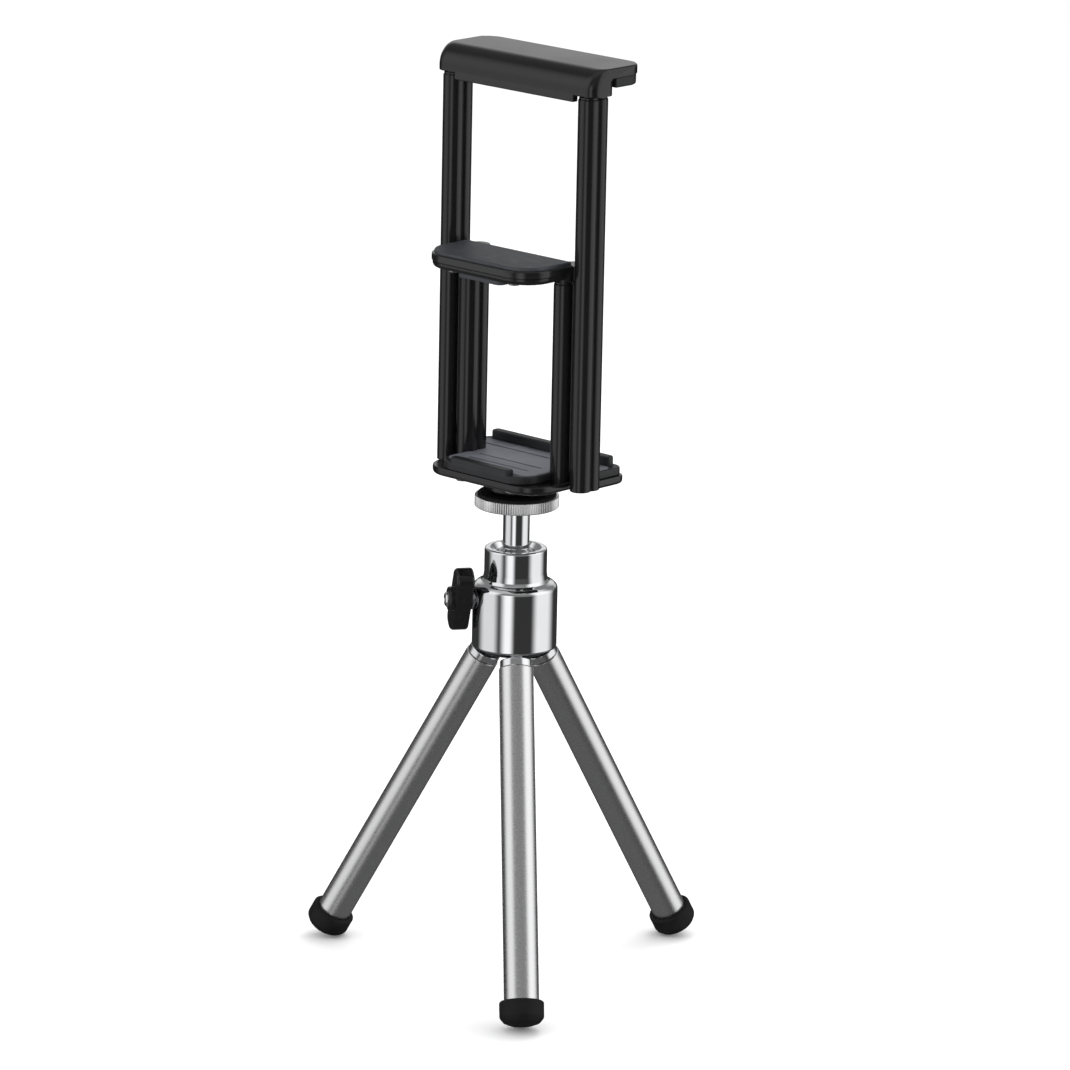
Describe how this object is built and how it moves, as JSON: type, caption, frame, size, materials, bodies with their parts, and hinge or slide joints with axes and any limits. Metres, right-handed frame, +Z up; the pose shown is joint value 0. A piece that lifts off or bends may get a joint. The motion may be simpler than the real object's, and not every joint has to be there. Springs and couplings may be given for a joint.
{
  "type": "spring clamp holder on mini tripod",
  "caption": "Spring-clamp phone and tablet holder on a miniature ball-head tripod with folding metal legs, a wing clamp knob and a knurled lock disc.",
  "frame": {"origin": "bottom centre of the whole object's box, on the surface that the feet stand on", "axes": "+Z up, +X along the clamp jaws, -Y the phone side, +Y the tablet side"},
  "size_m": [0.1124, 0.1106, 0.2697],
  "materials": {
    "chrome": "polished chrome plate on turned metal",
    "aluminium": "satin anodised drawn tube",
    "steel": "plain zinc-plated steel",
    "brass": "turned brass",
    "rubber": "matte black moulded rubber",
    "nylon": "natural nylon",
    "gloss_black": "glossy black moulded plastic",
    "satin_black": "satin charcoal moulded plastic"
  },
  "bodies": {
    "head": {"head_body": "chrome", "leg_hub": "satin_black", "hub_screw": "steel", "hinge_pin_1": "steel", "hinge_pin_2": "steel", "hinge_pin_3": "steel"},
    "leg_1": {"leg_plug_1": "chrome", "leg_tube_1": "aluminium", "foot_1": "rubber"},
    "leg_2": {"leg_plug_2": "chrome", "leg_tube_2": "aluminium", "foot_2": "rubber"},
    "leg_3": {"leg_plug_3": "chrome", "leg_tube_3": "aluminium", "foot_3": "rubber"},
    "knob": {"knob_screw": "chrome", "knob_washer": "steel", "wing_knob": "gloss_black"},
    "seat": {"ball_seat": "nylon"},
    "ball": {"ball_stem": "chrome", "stud": "steel"},
    "lock": {"lock_disc": "chrome", "disc_pad": "rubber"},
    "holder": {"base_shell": "satin_black", "base_plate": "satin_black", "base_pad": "rubber", "threaded_insert": "brass", "base_screw_1": "steel", "base_screw_2": "steel", "outer_post_left": "gloss_black", "inner_post_left": "gloss_black", "outer_post_collar_left": "satin_black", "inner_post_collar_left": "satin_black", "outer_post_plug_left": "satin_black", "inner_post_plug_left": "satin_black", "outer_spring_left": "steel", "inner_spring_left": "steel", "outer_post_right": "gloss_black", "inner_post_right": "gloss_black", "outer_post_collar_right": "satin_black", "inner_post_collar_right": "satin_black", "outer_post_plug_right": "satin_black", "inner_post_plug_right": "satin_black", "outer_spring_right": "steel", "inner_spring_right": "steel"},
    "phone_clamp": {"phone_jaw_shell": "gloss_black", "phone_jaw_cover": "satin_black", "phone_jaw_pad": "rubber", "phone_jaw_screw_1": "steel", "phone_jaw_screw_2": "steel", "inner_slide_left": "steel", "inner_slide_right": "steel"},
    "tablet_clamp": {"tablet_jaw_cover": "gloss_black", "tablet_jaw_plate": "satin_black", "tablet_jaw_pad": "rubber", "tablet_jaw_screw_1": "steel", "tablet_jaw_screw_2": "steel", "outer_slide_left": "steel", "outer_slide_right": "steel"}
  },
  "joints": [
    {"name": "leg_1_fold", "type": "hinge", "parent": "head", "child": "leg_1", "pos_m": [0.01222, -0.01379, 0.09705], "axis": [0.682, 0.7314, 0], "range_deg": [0, 29.2]},
    {"name": "leg_2_fold", "type": "hinge", "parent": "head", "child": "leg_2", "pos_m": [0.00832, -0.00103, 0.09705], "axis": [-0.9744, 0.225, 0], "range_deg": [0, 29.2]},
    {"name": "leg_3_fold", "type": "hinge", "parent": "head", "child": "leg_3", "pos_m": [-0.00078, -0.01078, 0.09705], "axis": [0.2924, -0.9563, 0], "range_deg": [0, 29.2]},
    {"name": "knob_turn", "type": "hinge", "parent": "head", "child": "knob", "pos_m": [0.00658, -0.00853, 0.11155], "axis": [-0.5736, -0.8192, 0], "range_deg": [-360, 0]},
    {"name": "ball_pan", "type": "hinge", "parent": "head", "child": "seat", "pos_m": [0.00658, -0.00853, 0.12025], "axis": [0, 0, 1], "continuous": true},
    {"name": "ball_tilt", "type": "hinge", "parent": "seat", "child": "ball", "pos_m": [0.00658, -0.00853, 0.12025], "axis": [1, 0, 0], "range_deg": [-22, 22]},
    {"name": "lock_disc_turn", "type": "hinge", "parent": "ball", "child": "lock", "pos_m": [0.00658, -0.00853, 0.14005], "axis": [0, 0, 1], "continuous": true},
    {"name": "holder_turn", "type": "hinge", "parent": "ball", "child": "holder", "pos_m": [0.00658, -0.00853, 0.14605], "axis": [0, 0, 1], "continuous": true},
    {"name": "phone_slide", "type": "slide", "parent": "holder", "child": "phone_clamp", "axis": [0, 0, 1], "range_m": [0, 0.033], "stiffness_N_per_m": 120, "springref_m": -0.02, "deforming": ["inner_spring_left", "inner_spring_right"]},
    {"name": "tablet_slide", "type": "slide", "parent": "holder", "child": "tablet_clamp", "axis": [0, 0, 1], "range_m": [0, 0.085], "stiffness_N_per_m": 80, "springref_m": -0.03, "deforming": ["outer_spring_left", "outer_spring_right"]}
  ]
}
